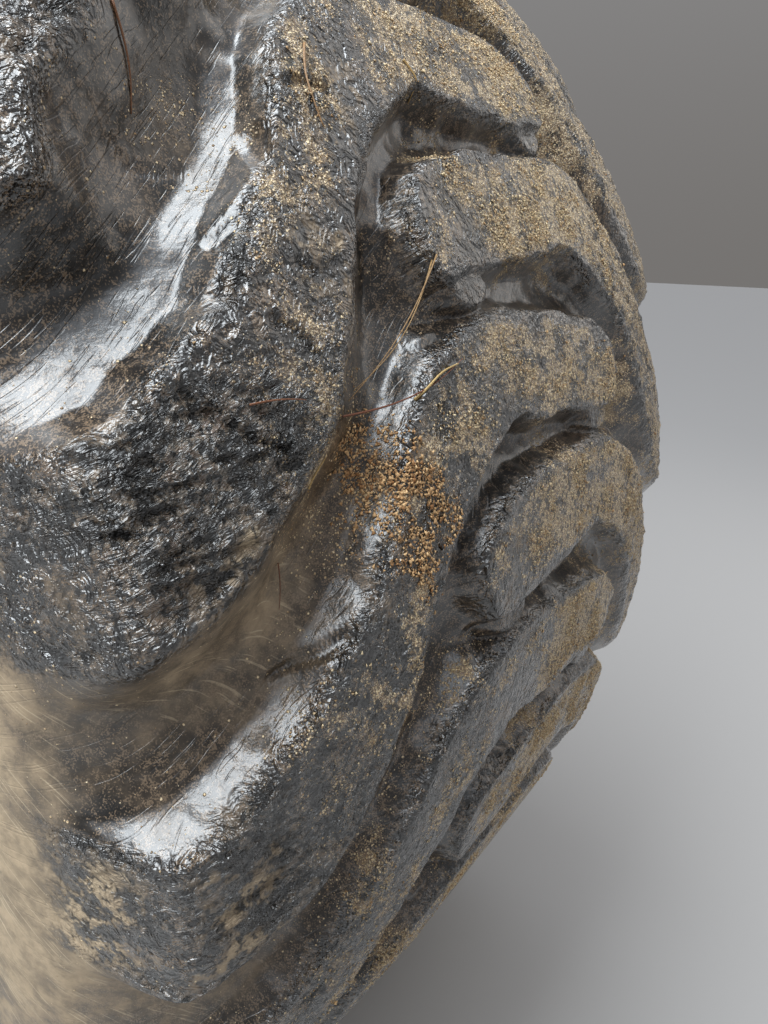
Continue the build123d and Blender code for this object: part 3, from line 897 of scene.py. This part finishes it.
# Rim, hub, spindle and fasteners
def hardware_material(name, paint, rough, metal, chips, rust, mud, cast):
    """Paint or bare metal with chips, rust, a film and clots of mud, and a casting's skin."""
    material, tree = start_material(name)
    where = add_node(tree, "TexCoord").outputs["Object"]
    flat = add_node(tree, "VectorMath", {0: where, 1: (1, 0, 1)}, operation="MULTIPLY").outputs[0]
    radius = add_node(tree, "VectorMath", {0: flat}, operation="LENGTH").outputs["Value"]
    lip = ramp(tree, radius, 0.345, 0.363)
    broad = noise(tree, where, 9, 4, 0.6)
    smear = noise(tree, where, 42, 5, 0.65)
    middling = noise(tree, where, 210, 3, 0.6)
    grit = noise(tree, where, 900, 1)

    faded = multiply_colour(tree, rgb(*paint), 0.78)
    colour = mix_colour(tree, ramp(tree, broad, 0.35, 0.65), rgb(*paint), faded)
    oxide = mix_colour(tree, middling, rgb(0.055, 0.022, 0.012), rgb(0.27, 0.10, 0.032))
    bleed = ramp(tree, add(tree, smear, multiply(tree, broad, 0.6)), 1.02 - 0.22 * rust, 1.12 - 0.16 * rust)
    colour = mix_colour(tree, multiply(tree, bleed, 0.75), colour, multiply_colour(tree, oxide, 1.3))
    loss = add(tree, multiply(tree, middling, 0.6), multiply(tree, smear, 0.5))
    loss = add(tree, loss, multiply(tree, lip, 0.09 * chips))
    chipped = ramp(tree, loss, 0.70 - 0.05 * chips, 0.715 - 0.05 * chips)
    colour = mix_colour(tree, chipped, colour, oxide)

    splash = noise(tree, where, 26, 6, 0.7)
    film = ramp(tree, add(tree, broad, multiply(tree, smear, 0.7)), 0.98 - 0.30 * mud, 1.18 - 0.24 * mud)
    clot = ramp(tree, splash, 0.72 - 0.12 * mud, 0.75 - 0.10 * mud)
    earth = mix_colour(tree, middling, rgb(0.11, 0.072, 0.042), rgb(0.27, 0.19, 0.115))
    colour = mix_colour(tree, multiply(tree, film, 0.72), colour, earth)
    colour = mix_colour(tree, clot, colour, multiply_colour(tree, earth, 0.8))

    relief = add(
        tree,
        multiply(tree, middling, 0.10 + 0.5 * cast),
        multiply(tree, grit, 0.03 + 0.05 * cast),
        multiply(tree, chipped, -0.12),
        multiply(tree, clot, add(tree, 0.5, multiply(tree, smear, 0.8))),
    )
    bump = add_node(tree, "Bump", {"Strength": 1.0, "Distance": 0.0025, "Height": relief}).outputs[0]
    covered = math_node(tree, "MAXIMUM", math_node(tree, "MAXIMUM", multiply(tree, film, 0.8), clot), chipped)
    finish_material(
        tree,
        base_color=colour,
        roughness=mix_value(tree, covered, mix_value(tree, smear, rough - 0.08, rough + 0.12), 0.85),
        metallic=multiply(tree, subtract(tree, 1.0, covered), metal),
        normal=bump,
    )
    return material


def dress(material, names):
    """Give CAD nodes a material."""
    for name in names:
        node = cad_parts[name]
        for slot in node.material_slots:
            slot.material = material


def weld_bead(name, weld_y, material, seed):
    """A rippled bead of weld round the wheel axis, half sunk in the corner that it fills."""
    pick = np.random.default_rng(seed)
    steps, sides = 540, 8
    turn = np.linspace(0, 2 * np.pi, steps, endpoint=False)
    ripple = 1 + 0.14 * np.abs(np.sin(turn * 135)) + 0.05 * pick.standard_normal(steps)
    about = np.linspace(0, 2 * np.pi, sides, endpoint=False)
    off = weld_width * ripple[:, None]
    reach = weld_radius + off * np.cos(about)
    y = weld_y + off * np.sin(about)
    points = np.stack([reach * np.cos(turn)[:, None], y, reach * np.sin(turn)[:, None]], axis=-1)
    index = np.arange(steps * sides).reshape(steps, sides)
    beside = np.roll(index, -1, axis=1)
    following, beyond = np.roll(index, -1, axis=0), np.roll(beside, -1, axis=0)
    quads = np.stack([index, beside, beyond, following], axis=-1)
    mesh = bpy.data.meshes.new(name)
    mesh.from_pydata((points.reshape(-1, 3) / metre).tolist(), [], quads.reshape(-1, 4).tolist())
    mesh.shade_smooth()
    mesh.materials.append(material)
    made = placed(name, mesh)
    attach(made, "wheel")


# Finishes of the CAD nodes
# columns: slot, colour, roughness, metal, chips, rust, mud, casting's skin, nodes
finish_table = [
    (
        "rim_paint", (0.50, 0.49, 0.46), 0.42, 0.0, 0.8, 0.5, 1.0, 0.15,
        ["rim_barrel", "rim_hoop_outer", "rim_hoop_inner", "wheel_disc", "valve_guard"],
    ),
    ("hub_paint", (0.11, 0.115, 0.12), 0.5, 0.0, 0.2, 0.2, 0.9, 1.0, ["hub_drum", "hub_cover"]),
    ("spindle_steel", (0.36, 0.35, 0.34), 0.38, 0.9, 0.2, 0.7, 0.5, 0.3, ["spindle"]),
    (
        "fastener_steel", (0.42, 0.40, 0.37), 0.36, 0.9, 0.6, 1.1, 0.55, 0.1,
        ["hub_cover_bolts", "hub_plugs", "wheel_studs", "wheel_nuts"],
    ),
    ("valve_brass", (0.48, 0.36, 0.17), 0.35, 0.95, 0.0, 0.2, 0.5, 0.1, ["valve_stem"]),
    ("valve_plastic", (0.03, 0.03, 0.03), 0.5, 0.0, 0.0, 0.0, 0.5, 0.2, ["valve_cap"]),
]
finishes = {}
for name, *look, nodes in finish_table:
    finishes[name] = hardware_material(name, *look)
    dress(finishes[name], nodes)
weld_bead("weld_disc_outer", weld_outer_y, finishes["rim_paint"], 31)
weld_bead("weld_disc_inner", weld_inner_y, finishes["rim_paint"], 32)


# Camera, floor and light
def make_camera():
    """The camera at the photograph's place, angle and field of view."""
    data = bpy.data.cameras.new("camera")
    data.sensor_fit = "VERTICAL"
    data.sensor_height = 36.0
    data.lens = camera_focal * data.sensor_height / frame_height
    data.clip_start = 0.01
    camera = placed("camera", data)
    azimuth, down, roll = np.radians([camera_azimuth, camera_down, camera_roll])
    turned = Matrix.Rotation(azimuth, 4, "Z") @ Matrix.Rotation(np.pi / 2 - down, 4, "X")
    turned = turned @ Matrix.Rotation(-roll, 4, "Z")
    camera.matrix_world = Matrix.Translation(Vector(camera_place) / metre) @ turned
    bpy.context.scene.camera = camera


def make_floor():
    """A plain pale floor that the tyre stands on."""
    mesh = bpy.data.meshes.new("floor")
    half = 12.0  # metres
    level = floor_height / metre
    corners = [(-half, -half, level), (half, -half, level), (half, half, level), (-half, half, level)]
    mesh.from_pydata(corners, [], [(0, 1, 2, 3)])
    floor = placed("floor", mesh)
    material, tree = start_material("floor")
    finish_material(tree, base_color=rgb(0.42, 0.41, 0.40), roughness=0.8)
    mesh.materials.append(material)


def make_light():
    """An open sky overhead in a dimmer surround, so that upward faces of wet rubber shine."""
    world = bpy.data.worlds.new("sky")
    bpy.context.scene.world = world
    world.use_nodes = True
    tree = world.node_tree
    tree.nodes.clear()
    where = add_node(tree, "TexCoord").outputs["Generated"]
    up = add_node(tree, "SeparateXYZ", {0: where}).outputs[2]
    inputs = {0: where, 1: (-0.15, -0.35, 0.92)}
    towards = add_node(tree, "VectorMath", inputs, operation="DOT_PRODUCT").outputs["Value"]
    colour = mix_colour(tree, ramp(tree, up, -0.1, 0.9), rgb(0.18, 0.172, 0.165), rgb(0.38, 0.385, 0.40))
    colour = mix_colour(tree, ramp(tree, towards, 0.55, 0.98), colour, rgb(1.6, 1.68, 1.8))
    back = add_node(tree, "Background", {0: colour, 1: 1.0})
    out = add_node(tree, "OutputWorld")
    tree.links.new(back.outputs[0], out.inputs[0])
    for name, place, target, size, power, tint in lamp_table:
        data = bpy.data.lights.new(name, "AREA")
        data.shape = "RECTANGLE"
        data.size, data.size_y = size
        data.energy = power
        data.color = tint
        lamp = placed(name, data)
        lamp.location = place
        lamp.rotation_euler = (Vector(target) - Vector(place)).to_track_quat("-Z", "Y").to_euler()


make_camera()
make_floor()
make_light()
bpy.context.scene.view_settings.view_transform = "Standard"
